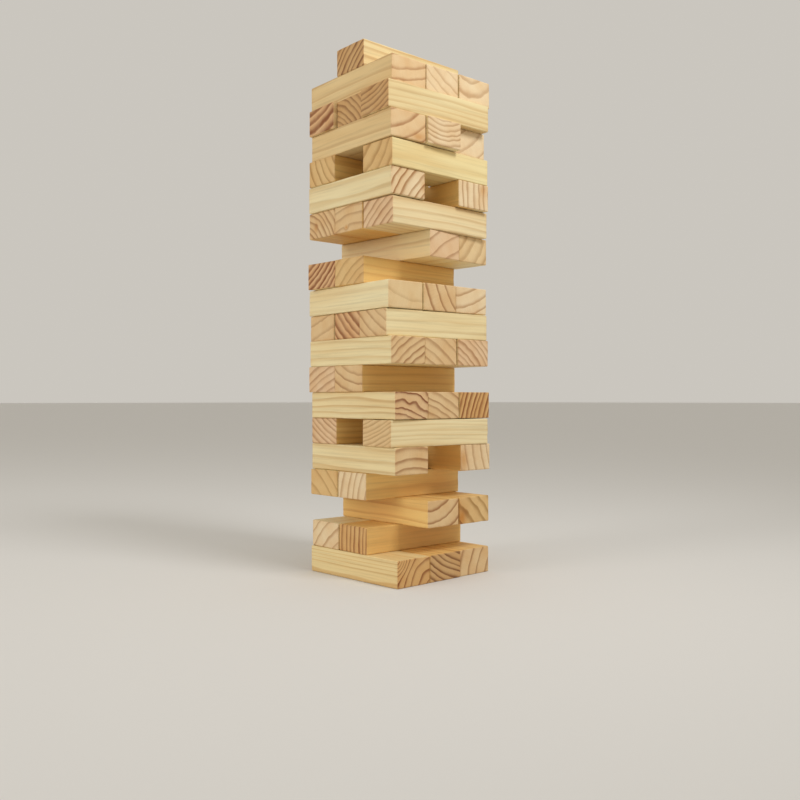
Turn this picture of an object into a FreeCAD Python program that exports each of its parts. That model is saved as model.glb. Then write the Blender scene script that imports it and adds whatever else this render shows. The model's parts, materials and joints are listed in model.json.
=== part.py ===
"""A tumbling tower in mid-game: plain pine blocks in crossed layers, some already pulled and put back on top.

Units are millimetres. The frame is +Z up, with its origin at the centre of the underside of the middle block of
the bottom layer. Odd layers run along X and are named front, middle and back, from -Y to +Y. Even layers run
along Y and are named left, middle and right, from -X to +X. Each block is one solid in its own file.
"""

import FreeCAD, Part
import os

BLOCK_LENGTH = 74.0
BLOCK_WIDTH = 24.4
BLOCK_THICKNESS = 15.0
SIDE_GAP = 0.4
EDGE_RADIUS = 0.5
LOOSE_GAP = 0.3

PITCH = BLOCK_WIDTH + SIDE_GAP

ALONG_X = ("front", "middle", "back")
ALONG_Y = ("left", "middle", "right")

# One row per layer, from the bottom: how far the layer sits off the centre line in X and Y, its turn about the
# vertical in degrees, and the blocks it still has. A block's number is how far it stands out past its neighbours
# at its visible end, which is +X in the odd layers and -Y in the even ones.
LAYERS = (
    ((0.0, 0.0), 2.0, {"front": 0.0, "middle": 0.0, "back": -0.5}),
    ((1.0, 0.5), 0.0, {"left": 0.5, "middle": 0.0}),
    ((0.0, -1.0), 1.0, {"middle": 0.0, "back": 0.5}),
    ((-0.5, 0.5), 1.0, {"left": 0.5, "middle": 0.0}),
    ((-1.5, 1.5), 0.5, {"front": 0.0, "back": 0.5}),
    ((-1.5, 1.0), -1.5, {"left": 0.0, "right": 0.5}),
    ((-1.5, 1.0), 0.5, {"front": 0.5, "middle": 0.0, "back": 0.5}),
    ((-2.5, 0.0), 1.0, {"left": 0.0, "middle": 0.5}),
    ((-1.0, -0.5), -0.5, {"front": 0.0, "middle": -0.5, "back": 0.5}),
    ((-2.0, 0.0), -3.5, {"left": 0.0, "middle": -0.5, "right": 0.0}),
    ((-2.0, -0.5), -1.5, {"front": 0.0, "middle": 0.5, "back": 0.0}),
    ((-1.0, -1.5), 2.5, {"left": 0.0, "middle": 0.5}),
    ((-3.0, 1.0), 3.5, {"middle": 0.5, "back": 0.0}),
    ((-1.5, -0.5), 0.5, {"left": 0.0, "middle": 0.5, "right": 0.0}),
    ((0.5, -2.0), 0.0, {"front": -0.5, "back": 0.5}),
    ((1.0, -2.5), 0.0, {"left": 0.0, "right": 0.0}),
    ((3.5, -2.5), -2.0, {"front": -0.5, "middle": 1.0, "back": -5.5}),
    ((2.5, -3.0), -2.5, {"left": 1.0, "middle": -1.5, "right": 0.5}),
    ((-0.5, 0.0), -1.0, {"front": 0.0, "middle": 0.0, "back": 0.5}),
    ((-0.5, 0.0), -0.5, {"middle": 0.0}),
)

# Blocks sanded a little thin, which is what makes them loose enough to pull.
LOOSE = ("layer_06_right", "layer_10_right", "layer_14_right", "layer_16_right")


def block_solid(thickness):
    """A block lying along X, centred on the origin in X and Y, with its underside at z = 0."""
    corner = FreeCAD.Vector(-BLOCK_LENGTH / 2, -BLOCK_WIDTH / 2, 0)
    box = Part.makeBox(BLOCK_LENGTH, BLOCK_WIDTH, thickness, corner)
    return box.makeFillet(EDGE_RADIUS, box.Edges)


def place_block(solid, number, place, offset, turn, stand_out):
    """Moves a block from the origin to its place in its layer."""
    runs_along_x = number % 2 == 1
    places = ALONG_X if runs_along_x else ALONG_Y
    across = (places.index(place) - 1) * PITCH
    if runs_along_x:
        solid.translate(FreeCAD.Vector(stand_out, across, 0))
    else:
        solid.rotate(FreeCAD.Vector(0, 0, 0), FreeCAD.Vector(0, 0, 1), 90)
        solid.translate(FreeCAD.Vector(across, -stand_out, 0))
    solid.rotate(FreeCAD.Vector(0, 0, 0), FreeCAD.Vector(0, 0, 1), turn)
    height = (number - 1) * BLOCK_THICKNESS
    solid.translate(FreeCAD.Vector(offset[0], offset[1], height))
    return solid


def build_tower():
    """Writes one STEP file for each block of the tower."""
    os.makedirs("parts", exist_ok=True)
    for number, (offset, turn, blocks) in enumerate(LAYERS, start=1):
        for place, stand_out in blocks.items():
            node = f"layer_{number:02d}_{place}"
            thickness = BLOCK_THICKNESS - (LOOSE_GAP if node in LOOSE else 0.0)
            solid = block_solid(thickness)
            place_block(solid, number, place, offset, turn, stand_out)
            solid.exportStep(f"parts/{node}.step")


build_tower()
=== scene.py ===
"""The looks of the tumbling tower: worn pine blocks, each cut from its own place in a log.

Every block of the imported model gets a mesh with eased, knocked edges, and a ring pattern that runs through the
block, so that the end grain and the long sides agree. Lengths are in metres unless a name or comment says mm.
"""

import json
import math

import bpy
import numpy as np
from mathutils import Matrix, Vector

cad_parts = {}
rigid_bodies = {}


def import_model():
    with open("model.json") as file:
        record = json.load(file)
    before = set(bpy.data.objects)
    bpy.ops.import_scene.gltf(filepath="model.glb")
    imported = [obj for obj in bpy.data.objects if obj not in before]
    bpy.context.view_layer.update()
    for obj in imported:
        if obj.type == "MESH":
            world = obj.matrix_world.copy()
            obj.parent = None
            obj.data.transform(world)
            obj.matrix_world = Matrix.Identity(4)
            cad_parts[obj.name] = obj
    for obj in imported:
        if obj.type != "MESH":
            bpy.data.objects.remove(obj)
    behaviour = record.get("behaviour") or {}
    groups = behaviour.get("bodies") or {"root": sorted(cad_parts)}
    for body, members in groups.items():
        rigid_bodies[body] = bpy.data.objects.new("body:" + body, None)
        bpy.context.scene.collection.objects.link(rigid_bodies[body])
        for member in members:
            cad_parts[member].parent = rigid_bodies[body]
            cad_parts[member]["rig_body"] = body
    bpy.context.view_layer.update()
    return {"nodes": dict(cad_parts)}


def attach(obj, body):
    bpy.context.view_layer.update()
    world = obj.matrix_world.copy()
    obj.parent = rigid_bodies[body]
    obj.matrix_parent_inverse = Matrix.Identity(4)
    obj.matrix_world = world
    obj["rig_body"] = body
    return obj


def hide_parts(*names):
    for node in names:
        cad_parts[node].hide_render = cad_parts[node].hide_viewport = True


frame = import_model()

MM = 0.001

# ---------------------------------------------------------------- the wood of each block
# pith: where the heart of the log lies, across and up, in mm from the middle of the block's shown end, seen from
# outside. ring: mean ring width in mm. dark: how far past the middle of that end one dark ring lies, going away
# from the pith. show: how dark the late wood is, 0 to 1. tint: its colours. wander: how far the rings stray, mm.
#                    pith         ring  dark  show  tint    wander
WOODS = {
    "layer_01_front": ((13, -9), 5.4, -0.2, 0.9, "amber", 0.3),
    "layer_01_middle": ((28, 56), 3.5, -0.2, 1.0, "umber", 0.25),
    "layer_01_back": ((42, -16), 7.4, 3.6, 0.8, "tan", 0.2),
    "layer_02_left": ((40, -43), 6.5, -3.5, 0.6, "pale", 0.2),
    "layer_02_middle": ((108, -4), 3.5, -1.2, 0.8, "amber", 0.15),
    "layer_03_middle": ((-11, 24), 7.0, 2.5, 1.0, "tan", 0.2),
    "layer_03_back": ((-60, -58), 6.2, 2.0, 0.8, "straw", 0.3),
    "layer_04_left": ((-39, -42), 7.7, 0.8, 0.5, "straw", 0.2),
    "layer_04_middle": ((60, -17), 4.7, 2.3, 0.6, "pale", 0.25),
    "layer_05_front": ((1, -45), 5.7, 1.0, 0.8, "tan", 0.15),
    "layer_05_back": ((60, 14), 6.0, 1.4, 0.6, "pale", 0.25),
    "layer_06_left": ((45, 80), 3.2, -1.5, 0.7, "rose", 0.2),
    "layer_06_right": ((-30, 80), 2.4, -0.6, 0.6, "cream", 0.2),
    "layer_07_front": ((-13, -46), 4.1, 1.4, 1.0, "ruddy", 0.7),
    "layer_07_middle": ((-36, -75), 4.2, -0.5, 0.65, "tan", 0.2),
    "layer_07_back": ((84, -32), 3.4, 1.3, 1.0, "amber", 0.25),
    "layer_08_left": ((36, -74), 4.1, -0.2, 0.6, "rose", 0.2),
    "layer_08_middle": ((13, 36), 5.8, 1.0, 0.65, "tan", 0.2),
    "layer_09_front": ((36, -50), 3.9, 0.2, 0.8, "tan", 0.25),
    "layer_09_middle": ((-38, -58), 5.0, 1.0, 0.6, "tan", 0.25),
    "layer_09_back": ((-32, -36), 3.4, -0.8, 0.7, "rose", 0.25),
    "layer_10_left": ((-60, 190), 7.5, 3.5, 0.5, "tan", 0.3),
    "layer_10_middle": ((44, 50), 4.4, 1.8, 1.0, "brown", 0.2),
    "layer_10_right": ((56, 76), 5.4, -2.2, 0.6, "tan", 0.2),
    "layer_11_front": ((10, 40), 9.0, 2.0, 0.3, "cream", 0.25),
    "layer_11_middle": ((40, 20), 7.3, 0.2, 0.8, "tan", 0.2),
    "layer_11_back": ((-18, 50), 6.3, 1.9, 0.7, "pale", 0.2),
    "layer_12_left": ((-34, 39), 3.3, 0.6, 1.0, "brown", 0.25),
    "layer_12_middle": ((31, -39), 4.8, 0.1, 0.5, "straw", 0.25),
    "layer_13_middle": ((36, -62), 9.2, 1.0, 0.7, "rose", 0.25),
    "layer_13_back": ((-31, 23), 6.4, -2.2, 0.6, "cream", 0.2),
    "layer_14_left": ((-24, -23), 3.5, -0.4, 0.8, "tan", 0.25),
    "layer_14_middle": ((6, -46), 5.2, 2.0, 0.5, "tan", 0.25),
    "layer_14_right": ((50, -60), 4.1, -2.2, 0.8, "rose", 0.2),
    "layer_15_front": ((44, -35), 4.2, 1.0, 1.0, "pale", 0.2),
    "layer_15_back": ((90, 4), 4.2, 0.0, 0.7, "pale", 0.25),
    "layer_16_left": ((30, 17), 5.0, 3.2, 0.7, "straw", 0.25),
    "layer_16_right": ((-25, 21), 6.4, -0.7, 0.6, "straw", 0.25),
    "layer_17_front": ((-22, 38), 7.2, -1.8, 0.8, "honey", 0.2),
    "layer_17_middle": ((-1, 27), 2.9, -0.8, 0.6, "pale", 0.25),
    "layer_17_back": ((-30, 40), 8.0, 1.4, 0.6, "pale", 0.2),
    "layer_18_left": ((-17, 50), 5.9, 2.7, 1.0, "brown", 0.25),
    "layer_18_middle": ((-23, -29), 3.2, -0.5, 0.7, "umber", 0.25),
    "layer_18_right": ((-15, 50), 3.1, -0.6, 0.7, "umber", 0.2),
    "layer_19_front": ((-18, 80), 6.2, -1.2, 0.7, "honey", 0.2),
    "layer_19_middle": ((48, 74), 5.2, -1.8, 0.4, "pale", 0.25),
    "layer_19_back": ((-4, 16), 9.0, 2.8, 0.5, "pale", 0.25),
    "layer_20_middle": ((55, -54), 3.4, 1.0, 1.0, "umber", 0.2),
}

# Where the rings bend round a knot just inside or outside the end: (across, up), reach in mm, and how many rings
# it lifts. A knot with a fraction of a ring is only a swirl.
KNOTS = {
    "layer_01_front": ((-13, 8), 7.0, 4.0),
    "layer_07_front": ((-2.5, 1.5), 2.0, 0.25),
    "layer_14_middle": ((-1.5, -5.5), 1.6, 0.6),
    "layer_14_left": ((-4, 1), 2.2, -0.3),
}

# Resin in the wood: (across, up) on the shown end, reach in mm across and up, and how strong it is.
RESIN = {
    "layer_03_back": ((-10.5, -3.5), (3.6, 6.0), 0.9),
    "layer_05_back": ((-10.0, -1.0), (3.4, 8.0), 0.7),
    "layer_14_left": ((-5.5, -1.0), (1.8, 3.0), 0.6),
    "layer_14_middle": ((-1.5, -5.0), (1.4, 1.2), 0.8),
    "layer_15_front": ((11.5, -1.0), (2.0, 3.0), 0.5),
    "layer_15_back": ((7.5, 4.0), (3.0, 4.0), 0.6),
    "layer_17_front": ((7.0, -5.0), (5.0, 2.6), 0.6),
    "layer_19_back": ((-5.0, -2.0), (8.0, 2.4), 0.2),
}

# The late wood's share of a ring, where it isn't the usual one.
WIDE_LATE = {
    "layer_03_back": 0.55,
    "layer_05_front": 0.5,
    "layer_07_back": 0.8,
    "layer_10_middle": 0.8,
    "layer_12_left": 0.9,
    "layer_13_back": 0.6,
    "layer_16_right": 0.5,
    "layer_18_left": 0.95,
    "layer_19_back": 0.5,
}

# Display colours, 0 to 255: early and late wood on the ends, then early and late wood on the long sides.
TINTS = {
    "pale": ((241, 216, 174), (172, 122, 70), (242, 227, 181), (214, 182, 124)),
    "cream": ((233, 203, 153), (172, 130, 76), (242, 227, 181), (214, 180, 122)),
    "tan": ((232, 199, 149), (156, 102, 52), (241, 223, 173), (208, 170, 110)),
    "rose": ((236, 203, 161), (164, 110, 64), (240, 221, 174), (208, 168, 112)),
    "honey": ((236, 204, 156), (168, 112, 60), (230, 202, 148), (184, 140, 84)),
    "ruddy": ((232, 196, 148), (140, 84, 46), (241, 223, 173), (200, 158, 98)),
    "straw": ((230, 194, 135), (160, 114, 48), (241, 223, 166), (212, 174, 104)),
    "amber": ((224, 180, 118), (142, 80, 30), (238, 216, 160), (208, 164, 98)),
    "umber": ((214, 173, 118), (138, 92, 50), (237, 218, 166), (200, 160, 102)),
    "brown": ((231, 188, 138), (144, 86, 42), (237, 214, 162), (200, 158, 100)),
}

# Painted shade: the warm orange of the tower's shaded recesses, painted on the long sides of the blocks that face
# them:
# 1 where it runs right through the block, or 0 and the side of the block that it lies on, across and up.
RECESS_SHADE = {
    "layer_01_middle": (1, 0, 0),
    "layer_01_back": (0, 0, 1),
    "layer_02_middle": (1, 0, 0),
    "layer_03_middle": (1, 0, 0),
    "layer_03_back": (0, 0, 1),
    "layer_04_middle": (1, 0, 0),
    "layer_05_back": (0, -1, 0),
    "layer_06_left": (0, 1, 0),
    "layer_08_middle": (1, 0, 0),
    "layer_12_middle": (1, 0, 0),
    "layer_14_left": (0, 0, -1),
    "layer_14_middle": (1, 0, 0),
    "layer_15_back": (0, -1, 0),
    "layer_16_left": (0, 1, 0),
}
NO_RECESS_SHADE = (-1, 0, 0)
# the painted recess shade's orange on the long sides: early and late wood
RECESS_SHADE_SIDES = ((243, 205, 130), (205, 150, 78))

# ---------------------------------------------------------------- shape of a block, in mm
BLOCK_WIDTH = 24.4
BLOCK_THICKNESS = 15.0
EDGE_RADIUS = 0.62
EDGE_RADIUS_SPREAD = 0.12
EDGE_RADIUS_REACH = (18, 9, 9)
SHARPEST_EDGE = 0.5
BLUNTEST_EDGE = 0.9
LENGTH_STEP = 1.3
CROSS_STEP = 0.8
EDGE_OFFSETS = (0.0, 0.14, 0.32, 0.56, 0.9)
FACE_HOLLOW = 0.05
FACE_HOLLOW_REACH = (40, 16, 12)
MOST_DENTS = 4
DENT_RUNS = (0.5, 0.3, 0.2)  # the share of dents on edges that run along the block, across it and up
DENT_REACH = (0.9, 2.4)
DENT_STRETCH = (1.4, 1.0, 1.0)
DENT_DEPTH = (0.06, 0.26)
EDGE_WEAR_REACH = 1.1
END_MARGIN = 0.5
END_FADE = 0.3

# ---------------------------------------------------------------- course of the rings, in mm
LATE_WIDTH = 1.9
LATE_LEAST_SHARE = 0.06
LATE_MOST_SHARE = 0.65
DARKEST = 0.25  # where the late wood is darkest, as a share of it, counted back from its outer border
LEAN = 0.012  # mm for each mm along the block
BOW = 0.5
STRAY_REACH = (70, 14, 14)
FINE_REACH = (40, 5, 5)
FINE_SHARE = 0.2
FAST_SWELL, FAST_SWELL_TURN = 0.11, 1.9  # how far a ring's border strays, in rings, and radians from ring to ring
SLOW_SWELL, SLOW_SWELL_TURN = 0.1, 0.7
FIRST_RING = 200  # keeps the ring numbers above zero
RESIN_RUN = 30.0

GENTLE_PEAK = 1.6  # how far a sum of sine waves goes past its usual size


def gentle(points, reach, rng, waves=6):
    """A smooth field between about -1 and 1. reach is the wavelength in mm along each axis."""
    total = np.zeros(len(points))
    for _ in range(waves):
        turns = rng.normal(size=3) / np.asarray(reach, float)
        total += np.sin(2 * math.pi * points @ turns + rng.uniform(0, 2 * math.pi))
    return total / math.sqrt(waves / 2) / GENTLE_PEAK


def seat(obj):
    """A CAD block's centre, its directions along, across and up, and its size in mm along each."""
    mesh = obj.data
    points = np.array([v.co for v in mesh.vertices])
    upright = [p for p in mesh.polygons if abs(p.normal.z) < 0.01]
    across = np.array(max(upright, key=lambda p: p.area).normal)
    along = np.cross(across, (0, 0, 1))
    if abs(along[0]) > abs(along[1]):
        along *= np.sign(along[0])
        across *= np.sign(across[1])
    else:
        along *= np.sign(along[1])
        across *= np.sign(across[0])
    axes = np.array([along, across, (0, 0, 1)])
    spans = points @ axes.T
    low, high = spans.min(0), spans.max(0)
    centre = (low + high) / 2 @ axes
    return centre, axes, (high - low) / MM


def stations(size, step):
    """Grid lines across a span of that size, closer together by both edges."""
    half = size / 2
    inner = half - EDGE_OFFSETS[-1]
    middle = np.linspace(-inner, inner, max(2, round(2 * inner / step)) + 1)
    edge = [half - offset for offset in EDGE_OFFSETS[:-1]]
    return np.array([-e for e in edge] + list(middle) + edge[::-1])


def box_shell(size):
    """Points and quads of a closed box, as a grid on each of its six faces."""
    lines = [stations(size[0], LENGTH_STEP), stations(size[1], CROSS_STEP), stations(size[2], CROSS_STEP)]
    counts = [len(line) for line in lines]
    ids = np.full(counts, -1)
    grid = np.stack(np.meshgrid(*[np.arange(n) for n in counts], indexing="ij"), -1).reshape(-1, 3)
    outer = ((grid == 0) | (grid == np.array(counts) - 1)).any(1)
    shell = grid[outer]
    ids[tuple(shell.T)] = np.arange(len(shell))
    points = np.stack([lines[k][shell[:, k]] for k in range(3)], -1)
    quads = []
    for axis in range(3):
        for end in (0, counts[axis] - 1):
            face = np.take(ids, end, axis=axis)
            ring = np.stack([face[:-1, :-1], face[1:, :-1], face[1:, 1:], face[:-1, 1:]], -1).reshape(-1, 4)
            outward = (end > 0) == (axis != 1)
            quads.append(ring if outward else ring[:, ::-1])
    return points, np.concatenate(quads)


def ease(points, size, rng):
    """Rounds the edges, unevenly, and returns the points with their outward directions."""
    radius = EDGE_RADIUS + EDGE_RADIUS_SPREAD * gentle(points, EDGE_RADIUS_REACH, rng)
    radius = np.clip(radius, SHARPEST_EDGE, BLUNTEST_EDGE)[:, None]
    core = size / 2 - radius
    nearest = np.clip(points, -core, core)
    outward = points - nearest
    outward /= np.linalg.norm(outward, axis=1)[:, None]
    return nearest + radius * outward, outward


def knock(points, outward, size, rng):
    """Presses a few small dents into the edges and corners, and hollows the faces by a hair."""
    half = size / 2
    depth = FACE_HOLLOW * (0.5 + 0.5 * gentle(points, FACE_HOLLOW_REACH, rng)).clip(0, 1)
    for _ in range(rng.integers(0, MOST_DENTS + 1)):
        spot = rng.choice((-1.0, 1.0), size=3) * half
        run = rng.choice(3, p=DENT_RUNS)
        spot[run] *= rng.uniform(-1, 1)
        reach = rng.uniform(*DENT_REACH) * np.array(DENT_STRETCH)
        near = np.exp(-(((points - spot) / reach) ** 2).sum(1))
        depth += rng.uniform(*DENT_DEPTH) * near
    return points - depth[:, None] * outward


def ring_field(points, shown_end, node, rng):
    """Each point's place in the log: rings out from the pith, mm round it, and mm along it from the middle."""
    pith, ring, dark, _, _, wander = WOODS[node]
    seen = math.hypot(*pith) + dark
    run = np.abs(points[:, 0] - shown_end)
    lean = rng.normal(0, LEAN, 2)
    bow = rng.normal(0, BOW, 2)
    span = run.max()
    drift = run[:, None] * lean + np.sin(math.pi * run / span)[:, None] * bow
    stray = [gentle(points, STRAY_REACH, rng) * wander for _ in range(2)]
    fine = gentle(points, FINE_REACH, rng) * wander * FINE_SHARE
    across = points[:, 1] - pith[0] + drift[:, 0] + stray[0]
    up = points[:, 2] - pith[1] + drift[:, 1] + stray[1]
    radius = np.hypot(across, up) + fine
    out = radius / ring
    swell = FAST_SWELL * np.sin(out * FAST_SWELL_TURN + rng.uniform(0, 6))
    swell = swell + SLOW_SWELL * np.sin(out * SLOW_SWELL_TURN)
    rings = (radius - seen) / ring + swell - swell_at(seen, swell, radius) + 1 - DARKEST * late_share(node)
    rings += knot_lift(points, node)
    around = np.arctan2(up, across) * seen
    return np.stack([rings + FIRST_RING, around, points[:, 0]], -1)


def late_share(node):
    """The late wood's share of a ring: about the same width in mm, whatever the ring's width."""
    usual = min(LATE_MOST_SHARE, LATE_WIDTH / WOODS[node][1] + LATE_LEAST_SHARE)
    return WIDE_LATE.get(node, usual)


def knot_lift(points, node):
    """How many rings the block's knot lifts each point by."""
    if node not in KNOTS:
        return np.zeros(len(points))
    spot, reach, lift = KNOTS[node]
    gap = np.hypot(points[:, 1] - spot[0], points[:, 2] - spot[1])
    return lift * np.exp(-((gap / reach) ** 2))


def resin_field(points, shown_end, node):
    """How much resin is in each point, fading away from the shown end."""
    if node not in RESIN:
        return np.zeros(len(points))
    spot, reach, strength = RESIN[node]
    gap = ((points[:, 1] - spot[0]) / reach[0]) ** 2 + ((points[:, 2] - spot[1]) / reach[1]) ** 2
    run = np.abs(points[:, 0] - shown_end)
    return strength * np.exp(-gap - (run / RESIN_RUN) ** 2)


def swell_at(seen, swell, radius):
    """The swell at the ring that is named as seen, so that the ring stays where it is."""
    return swell[np.argmin(np.abs(radius - seen))]


def edge_wear(points, size):
    """1 on an edge, fading to 0 on the open face."""
    gaps = np.sort(size / 2 - np.abs(points), axis=1)
    return np.exp(-((gaps[:, 1] / EDGE_WEAR_REACH) ** 2))


def end_mask(points, size):
    """1 on the sawn ends and 0 on the long sides."""
    return np.clip((np.abs(points[:, 0]) - size[0] / 2 + END_MARGIN) / END_FADE, 0, 1)


def store(mesh, name, values):
    """Puts a vector on each point of the mesh for the material to read."""
    attribute = mesh.attributes.new(name, "FLOAT_VECTOR", "POINT")
    attribute.data.foreach_set("vector", values.astype(np.float32).ravel())


def make_block(node, obj, seed):
    """The worn block that stands for a CAD block."""
    rng = np.random.default_rng(seed)
    centre, axes, size = seat(obj)
    corners, quads = box_shell(size)
    points, outward = ease(corners, size, rng)
    points = knock(points, outward, size, rng)
    runs_along_x = abs(axes[0][0]) > abs(axes[0][1])
    shown_end = size[0] / 2 if runs_along_x else -size[0] / 2
    if np.linalg.det(axes) < 0:
        quads = quads[:, ::-1]  # left-handed axes would turn the faces inwards
    mesh = bpy.data.meshes.new(node + "_wood")
    mesh.from_pydata((points * MM @ axes + centre).tolist(), [], quads.tolist())
    mesh.shade_smooth()
    store(mesh, "log", ring_field(points, shown_end, node, rng))
    store(mesh, "block", points)
    resin = resin_field(points, shown_end, node)
    store(mesh, "wear", np.stack([end_mask(points, size), edge_wear(points, size), resin], -1))
    block = bpy.data.objects.new(node + "_wood", mesh)
    bpy.context.scene.collection.objects.link(block)
    return block


# ---------------------------------------------------------------- pine
# Noise scales, in waves for each mm along, across and up. The rays' are for each ring, each mm round, and along.
JITTER_SCALE = (0.03, 0.22, 0.22)
PATCH_SCALE = (0.02, 0.12, 0.12)
FIBRE_SCALE = (0.02, 0.8, 0.8)
PORE_SCALE = (0.6, 4.5, 4.5)
RAY_SCALE = (0.35, 3.2, 0.0)
BROAD_SCALE = (0.012, 0.09, 0.09)
RUB_SCALE = (0.15, 0.4, 0.4)

# Levels from dark to light, or from early wood to late, by their place in the noise or in the late wood.
LATE_BAND = ((0.0, 0.0), (0.3, 0.28), (0.6, 0.9), (0.82, 1.0), (0.93, 0.6), (1.0, 0.1))
FIBRE_LEVELS = ((0.32, 0.84), (0.5, 0.975), (0.65, 1.0))
PORE_LEVELS = ((0.32, 0.88), (0.5, 0.97), (0.7, 1.0))
RAY_LEVELS = ((0.3, 0.95), (0.6, 1.0))

SEED_STEP = 40.0  # mm between one block's place in the noise and the next one's
BORDER_JITTER = 0.28
SLOW_DARKENING = 0.16
PALEST_RING = 0.65
SIDE_SHOW = 0.65
# how soft the border of the painted orange recess shade is
RECESS_SHADE_BORDER = 0.3
BROAD_TONE, BROAD_MOST = (232, 196, 142), 0.32
RESIN_TONE = (222, 174, 96)
RUB_TONE, RUB_MOST = (206, 160, 100), 0.2
ROUGHNESS, LATE_POLISH, EDGE_POLISH, END_ROUGHENING, FIBRE_ROUGHENING = 0.62, 0.12, 0.08, 0.12, 0.2
LATE_HEIGHT, GRIT_HEIGHT = 0.2, 0.65
BUMP_STRENGTH, BUMP_DEPTH_MM = 0.5, 0.25
SPECULAR = 0.35


def linear(colour):
    """A display colour, 0 to 255, as the linear colour that a node wants."""
    shares = [c / 255 for c in colour]
    return [s / 12.92 if s <= 0.04045 else ((s + 0.055) / 1.055) ** 2.4 for s in shares] + [1.0]


class Nodes:
    """A short way to write a node tree."""

    def __init__(self, tree):
        self.tree = tree

    def put(self, value, socket):
        """Links a socket to another, or sets its value."""
        if isinstance(value, bpy.types.NodeSocket):
            self.tree.links.new(value, socket)
        elif value is not None:
            socket.default_value = value

    def add(self, kind, inputs=(), **settings):
        node = self.tree.nodes.new(kind)
        for name, value in settings.items():
            setattr(node, name, value)
        for name, value in dict(inputs).items():
            self.put(value, node.inputs[name])
        return node

    def math(self, operation, a, b=None, c=None):
        node = self.add("ShaderNodeMath", {0: a}, operation=operation)
        self.put(b, node.inputs[1])
        self.put(c, node.inputs[2])
        return node.outputs[0]

    def attribute(self, name):
        return self.add("ShaderNodeAttribute", attribute_name=name).outputs["Vector"]

    def split(self, vector):
        return self.add("ShaderNodeSeparateXYZ", {0: vector}).outputs

    def scaled(self, vector, scale):
        node = self.add("ShaderNodeVectorMath", {0: vector}, operation="MULTIPLY")
        node.inputs[1].default_value = scale
        return node.outputs[0]

    def noise(self, vector, scale, detail=2.0, rough=0.5):
        node = self.add("ShaderNodeTexNoise", {"Vector": self.scaled(vector, scale), "Scale": 1.0})
        node.inputs["Detail"].default_value = detail
        node.inputs["Roughness"].default_value = rough
        return node.outputs["Fac"]

    def remap(self, value, low, high, to_low, to_high, kind="LINEAR"):
        inputs = {"From Min": low, "From Max": high, "To Min": to_low, "To Max": to_high, "Value": value}
        return self.add("ShaderNodeMapRange", inputs, interpolation_type=kind).outputs[0]

    def ramp(self, value, stops):
        """Grey levels between stops of (place, level), in order of place."""
        node = self.add("ShaderNodeValToRGB", {0: value})
        elements = node.color_ramp.elements
        elements[0].position, elements[1].position = stops[0][0], stops[-1][0]
        for place, _ in stops[1:-1]:
            elements.new(place)
        for element, (_, level) in zip(elements, stops):
            element.color = (level, level, level, 1)
        return node.outputs[0]

    def mix(self, factor, a, b, blend="MIX"):
        node = self.add("ShaderNodeMix", data_type="RGBA", blend_type=blend)
        for place, value in ((0, factor), (6, a), (7, b)):
            self.put(value, node.inputs[place])
        return node.outputs[2]


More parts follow.
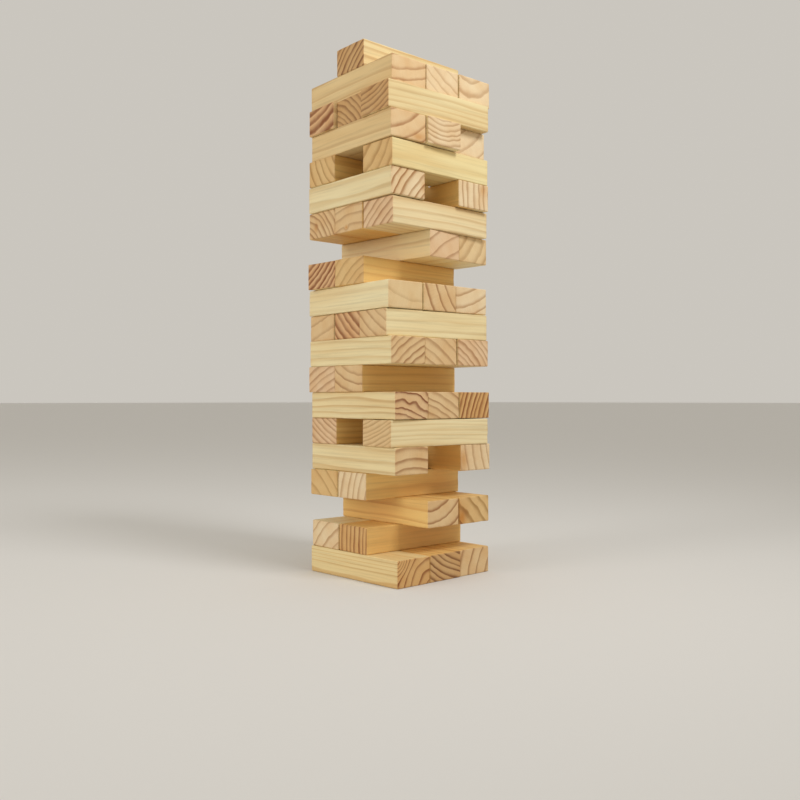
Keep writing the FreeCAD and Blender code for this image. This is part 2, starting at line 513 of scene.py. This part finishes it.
def pine_group():
    """The node group that every block's material shares: rings, fibre, pores, rays and handling marks."""
    tree = bpy.data.node_groups.new("pine", "ShaderNodeTree")
    for name in ("End early", "End late", "Side early", "Side late"):
        tree.interface.new_socket(name, in_out="INPUT", socket_type="NodeSocketColor")
    # the last three inputs place the painted orange recess shade
    for name in ("Show", "Share", "Seed", "Recess shade", "Recess shade across", "Recess shade up"):
        tree.interface.new_socket(name, in_out="INPUT", socket_type="NodeSocketFloat")
    tree.interface.new_socket("Color", in_out="OUTPUT", socket_type="NodeSocketColor")
    for name in ("Roughness", "Height"):
        tree.interface.new_socket(name, in_out="OUTPUT", socket_type="NodeSocketFloat")
    n = Nodes(tree)
    given = tree.nodes.new("NodeGroupInput").outputs
    log, block = n.attribute("log"), n.attribute("block")
    wear = n.split(n.attribute("wear"))
    end, edge, resin = wear[0], wear[1], wear[2]
    moved = n.add("ShaderNodeVectorMath", {0: block}, operation="ADD")
    spread = n.math("MULTIPLY", given["Seed"], SEED_STEP)
    n.put(n.add("ShaderNodeCombineXYZ", {0: spread, 1: spread, 2: spread}).outputs[0], moved.inputs[1])
    place = moved.outputs[0]

    # rings: a slow darkening to the late wood, then a sharper return, uneven from ring to ring
    jitter = n.math("MULTIPLY", n.math("SUBTRACT", n.noise(place, JITTER_SCALE, 1.5), 0.5), given["Share"])
    jitter = n.math("MULTIPLY", jitter, BORDER_JITTER)
    phase = n.math("ADD", n.split(log)[0], jitter)
    within = n.math("FRACT", phase)
    start = n.math("SUBTRACT", 1.0, given["Share"])
    into = n.math("DIVIDE", n.math("SUBTRACT", within, start), given["Share"])
    late = n.math("ADD", n.ramp(into, LATE_BAND), n.math("MULTIPLY", within, SLOW_DARKENING))
    number = n.math("ADD", n.math("FLOOR", phase), given["Seed"])
    uneven = n.add("ShaderNodeTexWhiteNoise", {"W": number}, noise_dimensions="1D").outputs["Value"]
    late = n.math("MULTIPLY", late, n.remap(uneven, 0.0, 1.0, PALEST_RING, 1.0))
    late = n.math("MULTIPLY", late, n.remap(n.noise(place, PATCH_SCALE), 0.3, 0.7, 0.8, 1.05))
    shown = n.math("MULTIPLY", late, given["Show"])

    # fine structure: fibres on the sides, pores and rays on the ends
    fibre = n.noise(place, FIBRE_SCALE, 6.0, 0.65)
    pores = n.noise(place, PORE_SCALE, 4.0, 0.65)
    rays = n.noise(log, RAY_SCALE)
    broad = n.noise(place, BROAD_SCALE)

    # painted recess shade: an uneven border between the block's own side colours and the orange of the tower's
    # shaded recesses
    spot = n.split(block)
    recess_shade = n.math("MULTIPLY_ADD", spot[1], given["Recess shade across"], given["Recess shade"])
    recess_shade = n.math("MULTIPLY_ADD", spot[2], given["Recess shade up"], recess_shade)
    recess_shade = n.math("ADD", recess_shade, n.math("SUBTRACT", broad, 0.5))
    recess_shade = n.remap(recess_shade, -RECESS_SHADE_BORDER, RECESS_SHADE_BORDER, 0.0, 1.0, "SMOOTHSTEP")
    side_early = n.mix(recess_shade, given["Side early"], linear(RECESS_SHADE_SIDES[0]))
    side_late = n.mix(recess_shade, given["Side late"], linear(RECESS_SHADE_SIDES[1]))

    # colour: the rings, then what darkens them
    sides = n.mix(n.math("MULTIPLY", shown, SIDE_SHOW), side_early, side_late)
    ends = n.mix(shown, given["End early"], given["End late"])
    sides = n.mix(1.0, sides, n.ramp(fibre, FIBRE_LEVELS), "MULTIPLY")
    ends = n.mix(1.0, ends, n.ramp(pores, PORE_LEVELS), "MULTIPLY")
    ends = n.mix(1.0, ends, n.ramp(rays, RAY_LEVELS), "MULTIPLY")
    colour = n.mix(end, sides, ends)
    colour = n.mix(n.remap(broad, 0.35, 0.7, 0.0, BROAD_MOST), colour, linear(BROAD_TONE), "MULTIPLY")
    colour = n.mix(resin, colour, linear(RESIN_TONE), "MULTIPLY")

    # handling: a faint warm rim that comes and goes
    rub = n.math("MULTIPLY", edge, n.remap(n.noise(place, RUB_SCALE, 3.0), 0.4, 0.7, 0.0, RUB_MOST))
    colour = n.mix(rub, colour, linear(RUB_TONE), "MULTIPLY")

    # rough early wood and pores, smoother late wood, polished edges
    rough = n.math("SUBTRACT", ROUGHNESS, n.math("MULTIPLY", shown, LATE_POLISH))
    rough = n.math("SUBTRACT", rough, n.math("MULTIPLY", edge, EDGE_POLISH))
    rough = n.math("ADD", rough, n.math("MULTIPLY", end, END_ROUGHENING))
    rough = n.math("ADD", rough, n.math("MULTIPLY", n.math("SUBTRACT", fibre, 0.5), FIBRE_ROUGHENING))

    grit = n.add("ShaderNodeMix", {0: end, 2: fibre, 3: pores}).outputs[0]
    height = n.math("ADD", n.math("MULTIPLY", late, LATE_HEIGHT), n.math("MULTIPLY", grit, GRIT_HEIGHT))
    out = tree.nodes.new("NodeGroupOutput").inputs
    n.put(colour, out["Color"])
    n.put(rough, out["Roughness"])
    n.put(height, out["Height"])
    return tree


def pine(node, seed, group):
    """One block's pine: the shared group with the block's own colours."""
    show, tint = WOODS[node][3], TINTS[WOODS[node][4]]
    # painted shade: where the orange of the tower's shaded recesses goes on this block's long sides
    recess_shade, across, up = RECESS_SHADE.get(node, NO_RECESS_SHADE)
    material = bpy.data.materials.new("pine_" + node)
    material.use_nodes = True
    n = Nodes(material.node_tree)
    shader = material.node_tree.nodes["Principled BSDF"]
    colours = dict(zip(("End early", "End late", "Side early", "Side late"), (linear(c) for c in tint)))
    recess_shades = {"Recess shade": recess_shade, "Recess shade across": across / BLOCK_WIDTH, "Recess shade up": up / BLOCK_THICKNESS}
    own = {**colours, **recess_shades, "Show": show, "Share": late_share(node), "Seed": float(seed)}
    grain = n.add("ShaderNodeGroup", node_tree=group)
    for name, value in own.items():
        grain.inputs[name].default_value = value
    relief = {"Height": grain.outputs["Height"], "Strength": BUMP_STRENGTH, "Distance": BUMP_DEPTH_MM * MM}
    bump = n.add("ShaderNodeBump", relief)
    n.put(grain.outputs["Color"], shader.inputs["Base Color"])
    n.put(grain.outputs["Roughness"], shader.inputs["Roughness"])
    n.put(bump.outputs[0], shader.inputs["Normal"])
    shader.inputs["Specular IOR Level"].default_value = SPECULAR
    return material


# ---------------------------------------------------------------- studio
CAMERA_AZIMUTH = 48.3
CAMERA_DISTANCE = 0.529
CAMERA_HEIGHT = 0.1005
FOCAL_MM = 40.5
SENSOR_MM = 36.0

FLOOR_HALF_SIZE = 30.0
FLOOR_COLOUR = (224, 222, 218)
FLOOR_ROUGHNESS = 0.9
FLOOR_SPECULAR = 0.1
SKY_COLOUR, SKY_STRENGTH = (240, 235, 226), 0.68

# Azimuth, distance, height, the height aimed at, diameter, spread in degrees, power in watts, and colour.
LIGHTS = {
    "key": (96, 0.5, 0.66, 0.32, 0.24, 110, 1.0, (250, 252, 255)),
    "fill": (-8, 1.4, 0.45, 0.14, 0.6, 180, 5.2, (252, 252, 252)),
}


def around(azimuth, distance, height):
    """A point that far from the tower's centre line. Azimuth 0 is in front, and 90 is on the +X side."""
    turn = math.radians(azimuth)
    return Vector((math.sin(turn) * distance, -math.cos(turn) * distance, height))


def aim(obj, place, target):
    """Puts the object at that place and turns its view towards the target."""
    obj.location = place
    obj.rotation_euler = (Vector(target) - place).to_track_quat("-Z", "Y").to_euler()


def add_camera():
    """A level camera at the photograph's angle, so that the tower's uprights stay parallel."""
    camera = bpy.data.objects.new("camera", bpy.data.cameras.new("camera"))
    camera.data.sensor_width = SENSOR_MM
    camera.data.lens = FOCAL_MM
    camera.data.clip_start = 0.01
    camera.data.clip_end = 200.0
    place = around(CAMERA_AZIMUTH, CAMERA_DISTANCE, CAMERA_HEIGHT)
    aim(camera, place, (0, 0, CAMERA_HEIGHT))
    bpy.context.scene.collection.objects.link(camera)
    bpy.context.scene.camera = camera


def add_light(name, azimuth, distance, height, target_height, size, spread, power, colour):
    """A round lamp that the camera doesn't see."""
    light = bpy.data.lights.new(name, "AREA")
    light.spread = math.radians(spread)
    light.shape = "DISK"
    light.size = size
    light.energy = power
    light.color = linear(colour)[:3]
    obj = bpy.data.objects.new(name, light)
    obj.visible_camera = False
    aim(obj, around(azimuth, distance, height), (0, 0, target_height))
    bpy.context.scene.collection.objects.link(obj)


def add_studio():
    """A pale floor under a pale sky, a key above on the right and a broad fill low on the left."""
    size = FLOOR_HALF_SIZE
    mesh = bpy.data.meshes.new("floor")
    mesh.from_pydata([(-size, -size, 0), (size, -size, 0), (size, size, 0), (-size, size, 0)], [], [(0, 1, 2, 3)])
    floor = bpy.data.objects.new("floor", mesh)
    material = bpy.data.materials.new("floor")
    material.use_nodes = True
    shader = material.node_tree.nodes["Principled BSDF"]
    shader.inputs["Base Color"].default_value = linear(FLOOR_COLOUR)
    shader.inputs["Roughness"].default_value = FLOOR_ROUGHNESS
    shader.inputs["Specular IOR Level"].default_value = FLOOR_SPECULAR
    mesh.materials.append(material)
    bpy.context.scene.collection.objects.link(floor)
    world = bpy.data.worlds.new("studio")
    world.use_nodes = True
    background = world.node_tree.nodes["Background"]
    background.inputs["Color"].default_value = linear(SKY_COLOUR)
    background.inputs["Strength"].default_value = SKY_STRENGTH
    bpy.context.scene.world = world
    for name, settings in LIGHTS.items():
        add_light(name, *settings)


def build_tower():
    """Makes the worn block for each CAD block, with its own pine, on the same body."""
    group = pine_group()
    for seed, node in enumerate(sorted(frame["nodes"])):
        block = make_block(node, frame["nodes"][node], seed)
        block.data.materials.append(pine(node, seed, group))
        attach(block, frame["nodes"][node]["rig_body"])
        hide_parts(node)


build_tower()
add_studio()
add_camera()
bpy.context.scene.view_settings.view_transform = "Standard"
